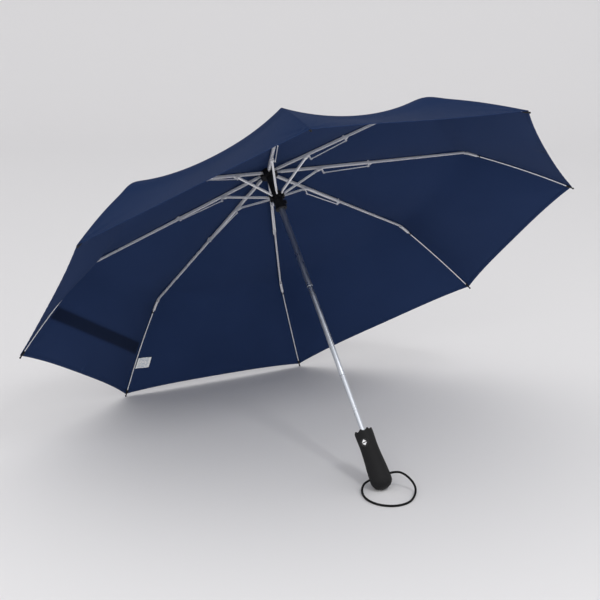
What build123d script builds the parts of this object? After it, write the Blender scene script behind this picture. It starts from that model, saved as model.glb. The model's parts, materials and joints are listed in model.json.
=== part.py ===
"""An eight-rib, three-fold automatic umbrella, open and lying on two rib tips and its handle's end.

Everything but the wrist cord is drawn in the umbrella's own frame: the shaft is the Z axis with
the top cap up, and Z = 0 is the plane of the top rib hinges. lay_down() then leans the whole
umbrella over until two neighbouring tips and the end of the handle touch the floor. Millimetres.
"""

from build123d import *
import os
from math import acos, atan2, cos, degrees, hypot, pi, radians, sin, sqrt, tan

# ---- driving dimensions ------------------------------------------------------------------------
RIBS = 8
RIB_STEP = 360 / RIBS
FIRST_AZIMUTH = 157.5  # rib 1; the others follow clockwise, seen from the cap
TOP_ANGLE = -11.8  # the top and middle ribs' slope when open, degrees from level
TIP_ANGLE = -38.6  # the slope of the outer rib's chord when open
OUTER_BEND = 7.0  # how far the outer rib's rod turns inward along its length
FOLDED = -90.0  # the top ribs hang straight down when folded

HINGE_R = 13.4  # radius of the ring of top rib hinges
RUNNER_R = 12.5  # radius of the ring of stretcher hinges
TO_STRETCHER = 79.3  # along the top rib
TO_MIDDLE = 160.3
STRETCHER_L = 82.5
MIDDLE_L = 169.1
BRACKET_L = 22.0  # the outer rib: bracket, bent rod and ferrule
ROD_ARC = 161.5
FERRULE_L = 14.0
CRANK = 7.0  # both cranks of the parallel link

RIB_HALF = 2.2  # top rib: half width, half height and sheet thickness
RIB_RISE = 1.9
SHEET = 0.5
EAR_R = 1.6
STRETCHER_HALF = 1.7
MIDDLE_HALF = 1.4
OUTER_HALF = 2.1
ROD_R = 1.0
ROD_LIFT = 1.2  # the rod's line over the line of its hinge
PIN_R = 0.6
FIT = 0.06  # radial running clearance of a hinge pin
FORK_IN = 2.5  # inner and outer faces of the fork and crank plates
FORK_OUT = 3.0
LINK_IN = 3.4
LINK_OUT = 4.2
LINK_EYE = 1.4

TUBE_R = [5.0, 4.5, 4.0]  # upper, middle and lower tube, outside
TUBE_WALL = 0.45
TUBE_PLAY = 0.05
UPPER_END = -220.0
MIDDLE_TOP, MIDDLE_END = -192.0, -385.0
LOWER_TOP, LOWER_END = -361.0, -560.0
GROOVE_WIDE, GROOVE_DEEP = 2.0, 0.25
UPPER_TRAVEL = 163.0  # upper tube over middle tube
MIDDLE_TRAVEL = 120.0  # middle tube over lower tube

NOTCH_R, NOTCH_TOP, NOTCH_BOTTOM = 15.2, 5.0, -5.5
WIRE_R = 0.6
SLEEVE_R, SLEEVE_TOP, SLEEVE_BOTTOM = 6.5, -6.0, -38.5
RUNNER_TOP, CROWN_BOTTOM, RUNNER_BOTTOM = -39.5, -50.0, -70.0
CROWN_R, BARREL_R, CROWN_FLOOR, CROWN_SLOT = 13.3, 8.8, 8.9, 5.0
LUG_AZIMUTH = -45.0  # halfway between two ribs

HANDLE_TOP, HANDLE_END = -483.0, -583.0
HANDLE_RIM_R, HANDLE_WIDE_R = 14.8, 17.4
HANDLE_ROUND = 15.0  # radius of the handle's rounded end
CORE_R, CUP_R, CUP_DEEP = 11.5, 5.9, 30.0
SCALLOP_R = 5.0
BUTTON_AZIMUTH, BUTTON_Z = 222.0, -505.0
BUTTON_R, BEZEL_R, BUTTON_FACE = 5.6, 7.4, 14.4
BUTTON_TRAVEL = 2.5

CORD_R = 1.8
CORD_AZIMUTH, CORD_Z = -30.0, -562.0
# The wrist cord's route in the lying frame, out of one side of the handle's cross hole, along the
# floor and into the other side. The first and last two points are on the hole's axis.
CORD_ROUTE = [
    (6.9, -249.3, 23.7),
    (23.4, -256.4, 30.0),
    (36.5, -267.7, 24.5),
    (45.0, -282.7, 9.5),
    (31.0, -301.2, 2.2),
    (9.0, -317.7, 1.9),
    (-16.0, -318.7, 1.9),
    (-36.0, -303.7, 1.9),
    (-43.0, -280.7, 1.9),
    (-39.5, -259.7, 2.0),
    (-32.0, -243.7, 5.5),
    (-20.8, -237.3, 13.2),
    (-6.9, -243.3, 18.4),
]

CLOTH = 0.6
TIP_R = 1.6
HEM_RISE = 7.0  # how far the middle of a panel's hem curves up towards the hub
# Places on a panel: how many rows of the cloth's profile down it, and the share across it.
STRAP_PLACES = [6.82, 7.0, 7.31]
STRAP_SHARES = [-0.96, -0.5, 0.0, 0.5, 0.96]
LABEL_PLACES = [7.42, 7.85]
LABEL_SHARES = [0.83, 0.975]


# ---- the rib plane: r outward from the shaft, z up it ------------------------------------------
def turned(point, angle):
    x, z = point
    a = radians(angle)
    return (x * cos(a) - z * sin(a), x * sin(a) + z * cos(a))


def moved(start, angle, point):
    """A point of a rib piece's own frame, in the rib plane."""
    x, z = turned(point, angle)
    return (start[0] + x, start[1] + z)


def heading(start, end):
    return degrees(atan2(end[1] - start[1], end[0] - start[0]))


# Where each hinge sits on the piece that carries it.
S_ON_TOP = (TO_STRETCHER, -2.1)
T_ON_TOP = (TO_MIDDLE, 2.1)
U_ON_MIDDLE = (MIDDLE_L, -3.0)

N = (HINGE_R, 0.0)
S = moved(N, TOP_ANGLE, S_ON_TOP)
T = moved(N, TOP_ANGLE, T_ON_TOP)
U = moved(T, TOP_ANGLE, U_ON_MIDDLE)
BEND_R = ROD_ARC / radians(OUTER_BEND)
ROD_END = (
    BRACKET_L + BEND_R * sin(radians(OUTER_BEND)),
    ROD_LIFT - BEND_R * (1 - cos(radians(OUTER_BEND))),
)
TIP_ON_OUTER = moved(ROD_END, -OUTER_BEND, (FERRULE_L, 0))
CHORD_ANGLE = heading((0, 0), TIP_ON_OUTER)
OUTER_ANGLE = TIP_ANGLE - CHORD_ANGLE
P = moved(U, OUTER_ANGLE, TIP_ON_OUTER)
R = (RUNNER_R, S[1] - sqrt(STRETCHER_L**2 - (S[0] - RUNNER_R) ** 2))
S_FOLDED = moved(N, FOLDED, S_ON_TOP)
R_FOLDED = (RUNNER_R, S_FOLDED[1] - sqrt(STRETCHER_L**2 - (S_FOLDED[0] - RUNNER_R) ** 2))
RUNNER_TRAVEL = R[1] - R_FOLDED[1]

# How far each hinge turns from open to folded, anticlockwise in the rib plane, from its parent.
TOP_TURN = FOLDED - TOP_ANGLE
STRETCHER_ANGLE = heading(S, R)
STRETCHER_TURN = heading(S_FOLDED, R_FOLDED) - STRETCHER_ANGLE + 360 * (STRETCHER_ANGLE > 0)
STRETCHER_TURN = (STRETCHER_TURN % 360) - TOP_TURN
MIDDLE_TURN = 180.0
OUTER_TURN = (FOLDED - TIP_ANGLE) - (TOP_TURN + MIDDLE_TURN)

# The parallel link runs between two cranks, which both pass the line S-T halfway through the fold.
ST_ANGLE = heading(S_ON_TOP, T_ON_TOP) + TOP_ANGLE
Q = moved(S, ST_ANGLE - STRETCHER_TURN / 2, (CRANK, 0))
V = moved(T, ST_ANGLE - MIDDLE_TURN / 2, (CRANK, 0))
LINK_L = hypot(V[0] - Q[0], V[1] - Q[1])
LINK_ANGLE = heading(Q, V)
LINK_TURN = 2 * (ST_ANGLE - LINK_ANGLE) - STRETCHER_TURN


# ---- helpers -----------------------------------------------------------------------------------
def block(x0, x1, y0, y1, z0, z1):
    return Pos((x0 + x1) / 2, (y0 + y1) / 2, (z0 + z1) / 2) * Box(x1 - x0, y1 - y0, z1 - z0)


def disc(x, z, r, y0, y1):
    """A round plate across the rib plane."""
    return Pos(x, (y0 + y1) / 2, z) * Rot(X=90) * Cylinder(r, y1 - y0)


def plate(points, y0, y1):
    """A polygon in the rib plane, as thick as y0 to y1."""
    outline = Polygon(*[(x, z) for x, z in points], align=None)
    return Pos(0, y1, 0) * Rot(X=90) * extrude(outline, y1 - y0)


def bar(a, b, ra, rb, y0, y1):
    """A flat bar with round ends."""
    angle = radians(heading(a, b))
    side = (-sin(angle), cos(angle))
    points = [
        (a[0] + side[0] * ra, a[1] + side[1] * ra),
        (a[0] - side[0] * ra, a[1] - side[1] * ra),
        (b[0] - side[0] * rb, b[1] - side[1] * rb),
        (b[0] + side[0] * rb, b[1] + side[1] * rb),
    ]
    return plate(points, y0, y1) + disc(*a, ra, y0, y1) + disc(*b, rb, y0, y1)


def both_sides(shape):
    return shape + mirror(shape, about=Plane.XZ)


def azimuth(k):
    return FIRST_AZIMUTH - RIB_STEP * k


def on_rib(k, start, angle):
    """The place in the umbrella's frame of a piece of rib k whose own frame starts at a hinge."""
    return Rot(Z=azimuth(k)) * Pos(start[0], 0, start[1]) * Rot(Y=-angle)


def ring(r_out, r_in, z0, z1):
    tube = Cylinder(r_out, z1 - z0) - Cylinder(r_in, z1 - z0 + 2)
    return Pos(0, 0, (z0 + z1) / 2) * tube


def solids(*shapes):
    """Separate pieces of one node."""
    return Compound([s for shape in shapes for s in shape.solids()])


def put(place, shape):
    """The shape's solids, each at its place."""
    return Compound([place * s for s in shape.solids()])


# ---- rib pieces, each in its own frame: X along, Z outward, Y across ----------------------------
def top_rib():
    """A channel, open on the shaft's side, squeezed to a tongue at the notch."""
    web_end = TO_MIDDLE - 2.4
    web = block(9, web_end, -RIB_HALF, RIB_HALF, RIB_RISE - SHEET, RIB_RISE)
    inner = RIB_HALF - SHEET
    flange = block(9, TO_MIDDLE, inner, RIB_HALF, -RIB_RISE, RIB_RISE)
    flange += disc(*T_ON_TOP, EAR_R, inner, RIB_HALF)
    flange += disc(*S_ON_TOP, EAR_R, inner, RIB_HALF)
    shape = web + both_sides(flange)
    shape += block(8, 12, -RIB_HALF, RIB_HALF, -RIB_RISE, RIB_RISE)
    shape += block(0, 9, -0.8, 0.8, -RIB_RISE, RIB_RISE) + disc(0, 0, RIB_RISE, -0.8, 0.8)
    for centre, radius in (((0, 0), WIRE_R + 0.1), (S_ON_TOP, PIN_R + FIT), (T_ON_TOP, PIN_R + FIT)):
        shape -= disc(*centre, radius, -5, 5)
    return solids(shape)


def stretcher():
    """A channel from its hinge on the top rib (0, 0) to the runner, with the first crank."""
    inner, floor, deep = STRETCHER_HALF - 0.45, -0.2, -3.0
    tongue = STRETCHER_L - 4.5
    web = block(8.4, tongue, -STRETCHER_HALF, STRETCHER_HALF, floor - 0.45, floor)
    flange = block(8.4, tongue, inner, STRETCHER_HALF, deep, floor)
    shape = web + both_sides(flange)
    shape += block(5.5, 8.5, -FORK_OUT, FORK_OUT, deep, floor)
    shape += block(tongue - 2, tongue, -STRETCHER_HALF, STRETCHER_HALF, deep, floor)
    shape += plate(
        [(tongue - 1, deep), (STRETCHER_L, -1.5), (STRETCHER_L, 1.5), (tongue - 1, floor)],
        -1.1,
        1.1,
    )
    shape += disc(STRETCHER_L, 0, 1.5, -1.1, 1.1)
    cheek = plate([(0, 1.5), (0, -1.5), (5.6, deep), (8.5, deep), (8.5, floor)], FORK_IN, FORK_OUT)
    cheek += disc(0, 0, 1.5, FORK_IN, FORK_OUT)
    shape += both_sides(cheek)
    crank_at = turned((CRANK, 0), ST_ANGLE - STRETCHER_TURN / 2 - STRETCHER_ANGLE)
    shape += bar((0, 0), crank_at, 1.5, LINK_EYE, FORK_IN, FORK_OUT)
    shape -= disc(0, 0, PIN_R, -5, 5)
    shape -= disc(*crank_at, 0.5, -5, 5)
    shape -= disc(STRETCHER_L, 0, PIN_R, -5, 5)
    hinge_pin = disc(0, 0, PIN_R, -FORK_OUT - 0.1, FORK_OUT + 0.1)
    runner_pin = disc(STRETCHER_L, 0, PIN_R, -1.3, 1.3)
    crank_pin = disc(*crank_at, 0.5, FORK_IN, LINK_OUT + 0.1)
    return solids(shape, hinge_pin, runner_pin, crank_pin)


def link():
    """The flat parallel link, with the rivet of its far end."""
    shape = bar((0, 0), (LINK_L, 0), LINK_EYE, LINK_EYE, LINK_IN, LINK_OUT)
    waist = plate([(2.5, 0.75), (LINK_L - 2.5, 0.75), (LINK_L - 2.5, 2), (2.5, 2)], 0, 5)
    shape = shape - waist - mirror(waist, about=Plane.XY)
    shape -= disc(0, 0, 0.5 + FIT, 0, 5)
    shape -= disc(LINK_L, 0, 0.5, 0, 5)
    return solids(shape, disc(LINK_L, 0, 0.5, LINK_IN, LINK_OUT))


def middle_rib():
    """A tapered channel that fits inside the top rib's ears, with the second crank."""
    inner, top, deep_in, deep_out = MIDDLE_HALF - 0.4, -0.2, -3.8, -2.9
    x, z = U_ON_MIDDLE
    web = block(1.0, x - 1, -MIDDLE_HALF, MIDDLE_HALF, top - 0.4, top)
    outline = [(0, top), (0, deep_in), (x, deep_out), (x, top)]
    flange = plate(outline, inner, MIDDLE_HALF)
    flange += disc(0, 0, 1.5, inner, MIDDLE_HALF)
    flange += disc(x, z, 1.3, inner, MIDDLE_HALF)
    shape = web + both_sides(flange)
    shape += block(3.2, 6.2, MIDDLE_HALF - 0.1, FORK_OUT, -3.4, -0.6)
    crank_at = turned((CRANK, 0), ST_ANGLE - MIDDLE_TURN / 2 - TOP_ANGLE)
    cheek = plate([(0, 1.5), (-1.4, -1), (1.4, -7), (6.2, -3.4), (6.2, -0.6)], FORK_IN, FORK_OUT)
    cheek += bar((0, 0), crank_at, 1.5, LINK_EYE, FORK_IN, FORK_OUT)
    shape += cheek
    shape -= disc(0, 0, PIN_R, -5, 5)
    shape -= disc(x, z, 0.55 + FIT, -5, 5)
    hinge_pin = disc(0, 0, PIN_R, -RIB_HALF - 0.2, FORK_OUT + 0.1)
    return solids(shape, hinge_pin)


def rod():
    """The outer rib's rod: straight in its bracket, then bending evenly inward to the tip."""
    start, bend, end = (7, 0, ROD_LIFT), (BRACKET_L, 0, ROD_LIFT), (ROD_END[0], 0, ROD_END[1])
    stub = moved(ROD_END, -OUTER_BEND, (4, 0))
    path = Line(start, bend) + TangentArc(bend, end, tangent=(1, 0, 0)) + Line(end, (stub[0], 0, stub[1]))
    section = Plane(origin=start, x_dir=(0, 1, 0), z_dir=(1, 0, 0)) * Circle(ROD_R)
    return sweep(section, path=path)


def ferrule():
    """The cap on the rod's end, with the small ball that the cloth's corner is tied behind."""
    profile = [(0, 0), (1.9, 0), (1.9, 6), (1.25, 7.5), (1.1, 12), (0, 12)]
    body = revolve(Plane.XZ * make_face(Polyline(*profile, close=True)), Axis.Z)
    body += Pos(0, 0, FERRULE_L - TIP_R) * Sphere(TIP_R)
    body -= Pos(0, 0, 1.5) * Cylinder(ROD_R, 5)
    return Pos(ROD_END[0], 0, ROD_END[1]) * Rot(Y=90 + OUTER_BEND) * body


def outer_rib():
    """A short forked bracket, the thin rod that it grips and the tip."""
    inner, end, deep = OUTER_HALF - 0.4, BRACKET_L, 2.6
    cheek = plate([(0, 1.3), (0, -1.3), (6, 0.1), (end, 0.1), (end, deep), (4, deep)], inner, OUTER_HALF)
    cheek += disc(0, 0, 1.3, inner, OUTER_HALF)
    bracket = both_sides(cheek) + block(4, end, -OUTER_HALF, OUTER_HALF, deep - 0.4, deep)
    bracket += block(17, 21, -OUTER_HALF, OUTER_HALF, 0.1, deep)
    bracket -= disc(0, 0, 0.55, -5, 5)
    bracket -= Pos(14, 0, ROD_LIFT) * Rot(Y=90) * Cylinder(ROD_R, 16.5)
    hinge_pin = disc(0, 0, 0.55, -OUTER_HALF - 0.2, OUTER_HALF + 0.2)
    return solids(bracket, rod(), ferrule(), hinge_pin)


# ---- shaft -------------------------------------------------------------------------------------
def tube(size, top, end, rolled=True):
    """A drawn tube with a shallow groove down the button's side and a rolled lower rim."""
    r = TUBE_R[size]
    bore = r - TUBE_WALL
    shape = ring(r, bore, end, top)
    if rolled:
        rim = Pos(0, 0, end + 0.5) * Torus(r - 0.15, 0.4)
        shape += rim - Pos(0, 0, end) * Cylinder(bore, 8)
    reach = top - end - 28
    groove = Pos(r, 0, end + 28 + reach / 2 - 1) * Box(2 * GROOVE_DEEP, GROOVE_WIDE, reach)
    return Rot(Z=BUTTON_AZIMUTH + 20) * (shape - groove)


def helix_spring(radius, wire, z0, z1, turns):
    """A coil spring of eight-sided wire."""
    pitch = (z1 - z0) / turns
    path = Helix(pitch, z1 - z0, radius)
    section = Plane(origin=path @ 0, z_dir=path % 0) * RegularPolygon(wire, 8)
    return Pos(0, 0, z0) * sweep(section, path=path, is_frenet=True)


# ---- hub ---------------------------------------------------------------------------------------
def slots(r_in, wide, z0, z1, r_out=40):
    """Radial slots in line with the ribs."""
    one = block(r_in, r_out, -wide / 2, wide / 2, z0, z1)
    return [Rot(Z=azimuth(k)) * one for k in range(RIBS)]


def notch():
    shape = ring(NOTCH_R, TUBE_R[0], NOTCH_BOTTOM, NOTCH_TOP)
    shape += ring(8.2, 2.0, 3.2, 6.8)
    for slot in slots(10.9, 2.4, NOTCH_BOTTOM - 1, NOTCH_TOP + 1):
        shape -= slot
    shape -= Torus(HINGE_R, WIRE_R)
    return shape


def top_cap():
    profile = [(0, 6.9), (12.4, 6.9), (12.4, 8.0), (10.5, 11.6), (5.0, 13.8), (0, 14.2)]
    dome = revolve(Plane.XZ * make_face(Polyline(*profile, close=True)), Axis.Z)
    spigot = Pos(0, 0, 5.2) * Cylinder(2.0, 4)
    return dome + spigot


def runner():
    shape = ring(BARREL_R, TUBE_R[0] + TUBE_PLAY, RUNNER_BOTTOM, RUNNER_TOP)
    shape += ring(CROWN_R, TUBE_R[0] + TUBE_PLAY, CROWN_BOTTOM, RUNNER_TOP - 1)
    shape += ring(BARREL_R + 1.4, TUBE_R[0] + TUBE_PLAY, RUNNER_BOTTOM, RUNNER_BOTTOM + 4)
    for slot in slots(CROWN_FLOOR, CROWN_SLOT, CROWN_BOTTOM - 1, RUNNER_TOP + 1):
        shape -= slot
    lug = Pos(BARREL_R + 1, 0, -61) * Box(6, 4, 7)
    shape += Rot(Z=LUG_AZIMUTH) * (lug - Pos(0, 0, -61) * Cylinder(BARREL_R - 1, 12))
    shape -= clip_seat(0.0)
    return shape


def clip_seat(play):
    """The spring clip's leaf in the side of the runner's barrel."""
    leaf = block(BARREL_R - 0.8, BARREL_R + 0.6 - play, -2.2 + play, 2.2 - play, -65.5 + play, -52 - play)
    return Rot(Z=BUTTON_AZIMUTH + 22.5) * leaf


def runner_clip():
    nose = Pos(BARREL_R + 0.6, 0, -54) * Box(1.6, 3, 2.4)
    return clip_seat(0.0) + Rot(Z=BUTTON_AZIMUTH + 22.5) * nose


# ---- handle ------------------------------------------------------------------------------------
def handle_outline():
    """The grip's outside: a slim neck under a cup, swelling to a round end."""
    centre_r = HANDLE_WIDE_R - HANDLE_ROUND
    centre_z = HANDLE_END + HANDLE_ROUND
    side = Spline(
        (HANDLE_RIM_R, HANDLE_TOP),
        (14.6, HANDLE_TOP - 22),
        (15.6, HANDLE_TOP - 50),
        (HANDLE_WIDE_R, centre_z),
        tangents=[(0.1, -1), (0, -1)],
    )
    middle = turned((HANDLE_ROUND, 0), -45)
    end = ThreePointArc(
        (HANDLE_WIDE_R, centre_z),
        (centre_r + middle[0], centre_z + middle[1]),
        (centre_r, HANDLE_END),
    )
    floor = Line((centre_r, HANDLE_END), (0, HANDLE_END))
    axis = Line((0, HANDLE_END), (0, HANDLE_TOP))
    top = Line((0, HANDLE_TOP), (HANDLE_RIM_R, HANDLE_TOP))
    return make_face([side, end, floor, axis, top])


def radial(azimuth_deg, z):
    """A frame on the shaft's axis whose Z points out at an azimuth."""
    return Rot(Z=azimuth_deg) * Pos(0, 0, z) * Rot(Y=90)


def cord_hole():
    return radial(CORD_AZIMUTH, CORD_Z) * Cylinder(CORD_R + 0.3, 60)


def handle_grip():
    """The soft shell over the core, open at the top, where eight scallops take the rib tips."""
    shape = revolve(Plane.XZ * handle_outline(), Axis.Z)
    shape -= Pos(0, 0, (HANDLE_TOP + HANDLE_END + 8) / 2 + 1) * Cylinder(
        CORE_R, HANDLE_TOP - HANDLE_END - 8 + 2
    )
    for k in range(RIBS):
        shape -= Rot(Z=azimuth(k)) * Pos(20, 0, HANDLE_TOP + 2.2) * Rot(Y=90) * Cylinder(SCALLOP_R, 30)
    shape -= radial(BUTTON_AZIMUTH, BUTTON_Z) * Pos(0, 0, 20) * Cylinder(BEZEL_R, 20)
    return shape - cord_hole()


def button_well():
    """The hole in the core behind the button, with room for the latch below it."""
    well = Pos(0, 0, 11) * Cylinder(BEZEL_R - 1, 8.4)
    # X points down the shaft in a radial frame, so the latch hangs towards positive X
    pocket = Pos(11, 0, 8.6) * Box(36, 9, 6.8)
    return radial(BUTTON_AZIMUTH, BUTTON_Z) * (well + pocket)


def handle_core():
    """The hard inner housing: it grips the lower tube and holds the cup, button and latch."""
    top = HANDLE_TOP - 4
    end = HANDLE_END + 8
    shape = ring(CORE_R, TUBE_R[2], end, top)
    shape += Pos(0, 0, (end + LOWER_END) / 2) * Cylinder(CORE_R, LOWER_END - end)
    cup_deep = CUP_DEEP - 4
    shape -= Pos(0, 0, top - cup_deep / 2) * Cylinder(CUP_R, cup_deep)
    return shape - button_well() - cord_hole()


def button_bezel():
    deep = 3.4
    shape = Pos(0, 0, 13.4) * (Cylinder(BEZEL_R, deep) - Cylinder(BUTTON_R + 0.25, deep + 2))
    return radial(BUTTON_AZIMUTH, BUTTON_Z) * shape


def push_button():
    """A dished button that slides in the bezel."""
    stem = 3.8
    shape = Pos(0, 0, BUTTON_FACE - stem / 2) * Cylinder(BUTTON_R, stem)
    shape -= Pos(0, 0, BUTTON_FACE + 14.6) * Sphere(15.1)
    return radial(BUTTON_AZIMUTH, BUTTON_Z) * shape


def release_latch():
    """The steel leaf behind the button, with the nose that holds the tube drive."""
    leaf = Pos(9, 0, 10.1) * Box(24, 7.6, 0.8)
    nose = Pos(19.5, 0, 9.2) * Box(3, 5, 1.2)
    return radial(BUTTON_AZIMUTH, BUTTON_Z) * (leaf + nose)


def button_spring():
    spring = helix_spring(2.6, 0.3, 7.4, 9.2, 2.5)
    return radial(BUTTON_AZIMUTH, BUTTON_Z) * spring


# ---- canopy ------------------------------------------------------------------------------------
def cloth_profile():
    """The cloth's inner face along a rib, from the hub to the tip, and its sag between ribs."""
    return [
        ((9.4, 6.0), 0.0),
        ((17.4, 5.8), 0.2),
        (moved(N, TOP_ANGLE, (70, 4.4)), 2.5),
        (moved(N, TOP_ANGLE, (TO_MIDDLE, 5.0)), 8.0),
        (moved(T, TOP_ANGLE, (100, 2.0)), 15.0),
        (moved(T, TOP_ANGLE, (MIDDLE_L + 2, 1.4)), 20.0),
        (moved(U, OUTER_ANGLE, (45, 4.0)), 20.0),
        (moved(U, OUTER_ANGLE, (100, 1.6)), 15.0),
        (moved(U, OUTER_ANGLE, (150, -2.7)), 8.5),
        (moved(U, OUTER_ANGLE, (TIP_ON_OUTER[0] - 4.5, -7.4)), 2.5),
    ]


PROFILE = cloth_profile()


def gore_point(row, share, lift):
    """A point of a panel: share is -1 to 1 across it, and lift is its height over the inner face."""
    (r, z), sag = PROFILE[row]
    before, after = PROFILE[max(row - 1, 0)][0], PROFILE[min(row + 1, len(PROFILE) - 1)][0]
    slope = radians(heading(before, after))
    half = radians(RIB_STEP / 2)
    middle = 1 - share**2
    drop = sag * middle - lift
    rise = HEM_RISE * (row / (len(PROFILE) - 1)) ** 6 * (1 - abs(share) ** 3)
    out = r * cos(half) - rise * cos(slope) + drop * sin(slope)
    up = z - rise * sin(slope) - drop * cos(slope)
    return Vector(out, share * r * sin(half), up)


def cloth_at(place, share, lift):
    """gore_point at a place between two rows."""
    row = min(int(place), len(PROFILE) - 2)
    a, b = gore_point(row, share, lift), gore_point(row + 1, share, lift)
    return a + (b - a) * (place - row)


def skin(inside, outside):
    """A closed solid between two grids of points."""
    rows, columns = len(inside) - 1, len(inside[0]) - 1
    faces = []

    def quad(a, b, c, d):
        faces.append(Face(Wire.make_polygon([a, b, c], close=True)))
        faces.append(Face(Wire.make_polygon([a, c, d], close=True)))

    for side in (inside, outside):
        for i in range(rows):
            for j in range(columns):
                quad(side[i][j], side[i + 1][j], side[i + 1][j + 1], side[i][j + 1])
    for i in range(rows):
        for j in (0, columns):
            quad(inside[i][j], inside[i + 1][j], outside[i + 1][j], outside[i][j])
    for i in (0, rows):
        for j in range(columns):
            quad(inside[i][j], inside[i][j + 1], outside[i][j + 1], outside[i][j])
    return Solid(Shell(faces))


def on_gore(k):
    return Rot(Z=azimuth(k) - RIB_STEP / 2)


def gore(k):
    """One of the eight panels, between ribs k and k + 1."""
    shares = [-1.0, -0.5, 0.0, 0.5, 1.0]
    rows = range(len(PROFILE))
    inside, outside = ([[gore_point(i, s, lift) for s in shares] for i in rows] for lift in (0, CLOTH))
    return on_gore(k) * skin(inside, outside)


def canopy():
    return solids(*[gore(k) for k in range(RIBS)])


def patch(k, places, shares, low, high):
    """A thin piece of cloth that follows panel k."""
    low_side, high_side = ([[cloth_at(p, s, lift) for s in shares] for p in places] for lift in (low, high))
    return on_gore(k) * skin(low_side, high_side)


def tie_strap():
    """The closing strap, lying on the outside of the panel that it is sewn to."""
    return patch(0, STRAP_PLACES, STRAP_SHARES, CLOTH + 1.6, CLOTH + 2.5)


def care_label():
    return patch(1, LABEL_PLACES, LABEL_SHARES, -1.4, -1.0)


# ---- the wrist cord, in the frame of the lying umbrella -----------------------------------------
def rounded(points):
    """The cord's line: its straight runs joined by tangent arcs as large as the runs allow."""
    radii = []
    for a, b, c in zip(points, points[1:], points[2:]):
        before, after = Vector(*b) - Vector(*a), Vector(*c) - Vector(*b)
        turn = radians(before.get_angle(after))
        radii.append(0.45 * min(before.length, after.length) / tan(turn / 2))
    print("cord arc radii", [round(r, 1) for r in radii])
    return FilletPolyline(*points, radius=radii)


def wrist_cord():
    path = rounded(CORD_ROUTE)
    first, second = Vector(*CORD_ROUTE[0]), Vector(*CORD_ROUTE[1])
    shape = sweep(Plane(origin=first, z_dir=second - first) * Circle(CORD_R), path=path)
    length = path.length
    print("cord length", round(length, 1), "volume ratio", shape.volume / (pi * CORD_R**2 * length))
    return shape


# ---- laying it down ----------------------------------------------------------------------------
def lean():
    """The angle that puts the balls of ribs 2 and 3 and the handle's round end on one floor."""
    across = radians(RIB_STEP / 2)
    ball = moved(ROD_END, -OUTER_BEND, (FERRULE_L - TIP_R, 0))
    ball = moved(U, OUTER_ANGLE, ball)
    round_r = HANDLE_WIDE_R - HANDLE_ROUND
    a = round_r - ball[0] * cos(across)
    b = ball[1] - (HANDLE_END + HANDLE_ROUND)
    return degrees(atan2(a, b) + acos((TIP_R - HANDLE_ROUND) / hypot(a, b)))


LEAN = lean()


def rib_nodes():
    """{node: shape in the umbrella's frame} for the eight rib chains."""
    own = {
        "top_rib": (top_rib(), N, TOP_ANGLE),
        "stretcher": (stretcher(), S, STRETCHER_ANGLE),
        "link": (link(), Q, LINK_ANGLE),
        "middle_rib": (middle_rib(), T, TOP_ANGLE),
        "outer_rib": (outer_rib(), U, OUTER_ANGLE),
    }
    return {
        f"{name}_{k + 1}": put(on_rib(k, start, angle), shape)
        for k in range(RIBS)
        for name, (shape, start, angle) in own.items()
    }


def core_nodes():
    return {
        "top_cap": top_cap(),
        "notch": notch(),
        "notch_wire": Torus(HINGE_R, WIRE_R),
        "hub_sleeve": ring(SLEEVE_R, TUBE_R[0], SLEEVE_BOTTOM, SLEEVE_TOP),
        "upper_tube": tube(0, 3.2, UPPER_END),
        "middle_tube": tube(1, MIDDLE_TOP, MIDDLE_END),
        "lower_tube": tube(2, LOWER_TOP, LOWER_END, rolled=False),
        "runner": runner(),
        "runner_clip": runner_clip(),
        "handle_grip": handle_grip(),
        "handle_core": handle_core(),
        "button_bezel": button_bezel(),
        "push_button": push_button(),
        "button_spring": button_spring(),
        "release_latch": release_latch(),
        "drive_spring": helix_spring(2.6, 0.65, LOWER_END + 1, MIDDLE_TOP - 4, 60),
        "canopy": canopy(),
        "tie_strap": tie_strap(),
        "care_label": care_label(),
    }


def lay_down(nodes):
    """The place of the umbrella's own frame in the lying frame: floor at Z = 0, box centred."""
    leaning = Compound([Rot(X=-LEAN) * s for shape in nodes.values() for s in shape.solids()])
    box = leaning.bounding_box()
    centre = box.center()
    return Pos(-centre.X, -centre.Y, -box.min.Z) * Rot(X=-LEAN)


if __name__ == "__main__":
    nodes = {**core_nodes(), **rib_nodes()}
    place = lay_down(nodes)
    os.makedirs("parts", exist_ok=True)
    for name, shape in nodes.items():
        export_step(put(place, shape), f"parts/{name}.step")
    export_step(wrist_cord(), "parts/wrist_cord.step")
    print("lean", round(LEAN, 4), "place", place)
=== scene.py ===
"""Looks for the open folding umbrella: its cloth, cord, metals and plastics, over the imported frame.

Metres. The umbrella's own frame has the shaft along Z, the cap up and Z = 0 at the top rib hinges;
own_to_row() turns it into the frame's.
"""

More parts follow.
